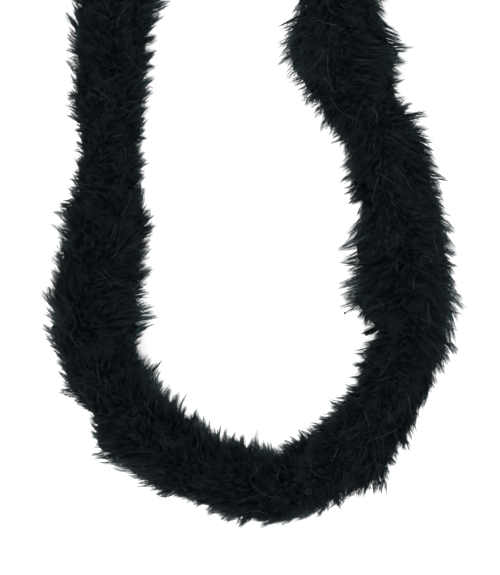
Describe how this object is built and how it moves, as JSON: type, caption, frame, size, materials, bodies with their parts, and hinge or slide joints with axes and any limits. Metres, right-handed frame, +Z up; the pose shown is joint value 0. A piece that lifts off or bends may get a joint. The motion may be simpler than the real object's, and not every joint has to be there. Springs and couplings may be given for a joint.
{
  "type": "feather boa",
  "caption": "Soft feather boa: a limp cord with bound down feathers all round it, laid in an open U, each end knotted with a small hanging loop.",
  "frame": {"origin": "the point of the table below the middle of the boa's bounding box, as it lies", "axes": "+Z up from the table; +Y from the round bottom of the U towards its open ends; +X from the left arm to the right arm"},
  "size_m": [0.5848, 0.5742, 0.066],
  "materials": {
    "marabou_down": "very soft matt black down with a faint cold sheen along each barb",
    "core_cord": "matt black two-ply twisted cotton cord",
    "binding_thread": "black polyester binding thread, slight sheen",
    "loop_thread": "black twisted thread, slight sheen"
  },
  "bodies": {
    "stretch_1": {"feather_section_01": "marabou_down", "feather_section_02": "marabou_down", "feather_section_03": "marabou_down", "core_cord_1": "core_cord", "binding_thread_1": "binding_thread", "end_knot_right": "core_cord", "hanging_loop_right": "loop_thread"},
    "stretch_2": {"feather_section_04": "marabou_down", "feather_section_05": "marabou_down", "feather_section_06": "marabou_down", "core_cord_2": "core_cord", "binding_thread_2": "binding_thread"},
    "stretch_3": {"feather_section_07": "marabou_down", "feather_section_08": "marabou_down", "feather_section_09": "marabou_down", "core_cord_3": "core_cord", "binding_thread_3": "binding_thread"},
    "stretch_4": {"feather_section_10": "marabou_down", "feather_section_11": "marabou_down", "feather_section_12": "marabou_down", "core_cord_4": "core_cord", "binding_thread_4": "binding_thread"},
    "stretch_5": {"feather_section_13": "marabou_down", "feather_section_14": "marabou_down", "feather_section_15": "marabou_down", "core_cord_5": "core_cord", "binding_thread_5": "binding_thread"},
    "stretch_6": {"feather_section_16": "marabou_down", "feather_section_17": "marabou_down", "feather_section_18": "marabou_down", "core_cord_6": "core_cord", "binding_thread_6": "binding_thread"},
    "stretch_7": {"feather_section_19": "marabou_down", "feather_section_20": "marabou_down", "feather_section_21": "marabou_down", "core_cord_7": "core_cord", "binding_thread_7": "binding_thread"},
    "stretch_8": {"feather_section_22": "marabou_down", "feather_section_23": "marabou_down", "feather_section_24": "marabou_down", "core_cord_8": "core_cord", "binding_thread_8": "binding_thread", "end_knot_left": "core_cord", "hanging_loop_left": "loop_thread"}
  },
  "joints": [
    {"name": "bend_1", "type": "hinge", "parent": "stretch_2", "child": "stretch_1", "pos_m": [0.23233, 0.22469, 0.033], "axis": [0, 0, 1], "range_deg": [-15, 25]},
    {"name": "bend_2", "type": "hinge", "parent": "stretch_3", "child": "stretch_2", "pos_m": [0.0716, 0.1554, 0.033], "axis": [0, 0, -1], "range_deg": [-25, 15]},
    {"name": "bend_3", "type": "hinge", "parent": "stretch_4", "child": "stretch_3", "pos_m": [0.12933, -0.06437, 0.033], "axis": [0, 0, 1], "range_deg": [-25, 22]},
    {"name": "bend_4", "type": "hinge", "parent": "stretch_4", "child": "stretch_5", "pos_m": [0.03481, -0.2525, 0.033], "axis": [0, 0, -1], "range_deg": [-25, 12]},
    {"name": "bend_5", "type": "hinge", "parent": "stretch_5", "child": "stretch_6", "pos_m": [-0.12789, -0.1273, 0.033], "axis": [0, 0, 1], "range_deg": [-20, 25]},
    {"name": "bend_6", "type": "hinge", "parent": "stretch_6", "child": "stretch_7", "pos_m": [-0.11212, 0.10047, 0.033], "axis": [0, 0, -1], "range_deg": [-22, 25]},
    {"name": "bend_7", "type": "hinge", "parent": "stretch_7", "child": "stretch_8", "pos_m": [-0.22857, 0.22196, 0.033], "axis": [0, 0, 1], "range_deg": [-25, 15]}
  ]
}
